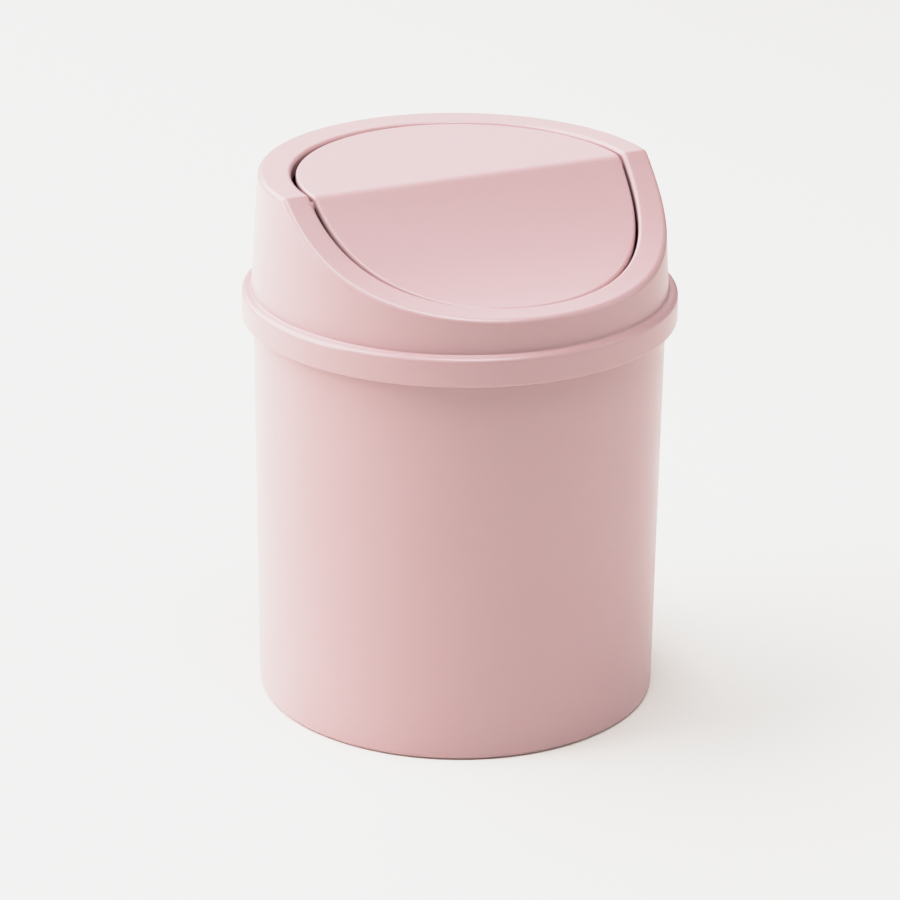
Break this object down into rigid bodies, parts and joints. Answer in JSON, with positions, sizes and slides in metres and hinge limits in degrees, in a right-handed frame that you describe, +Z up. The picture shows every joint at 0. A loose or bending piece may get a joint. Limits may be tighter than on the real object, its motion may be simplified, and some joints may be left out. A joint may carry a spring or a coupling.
{
  "type": "desktop trash can",
  "caption": "Small round desktop trash can with a lift-off lid whose round flap swings about a level axis under the crease between a flat back and a scooped front.",
  "frame": {"origin": "centre of the foot ring, on the table", "axes": "+Z up, the scooped front of the lid faces -Y, the flap's pivot axis lies along X"},
  "size_m": [0.132, 0.132, 0.1661],
  "materials": {
    "bucket_plastic": "satin moulded pastel pink",
    "lid_plastic": "satin moulded pastel pink",
    "flap_plastic": "satin moulded pastel pink"
  },
  "bodies": {
    "bucket_body": {"bucket": "bucket_plastic"},
    "lid_body": {"lid_cover": "lid_plastic"},
    "flap_body": {"swing_flap": "flap_plastic"}
  },
  "joints": [
    {"name": "lid_lift", "type": "slide", "parent": "bucket_body", "child": "lid_body", "axis": [0, 0, 1], "range_m": [0, 0.06]},
    {"name": "flap_swing", "type": "hinge", "parent": "lid_body", "child": "flap_body", "pos_m": [0, -0.0038, 0.1615], "axis": [1, 0, 0], "range_deg": [-90, 90]}
  ]
}
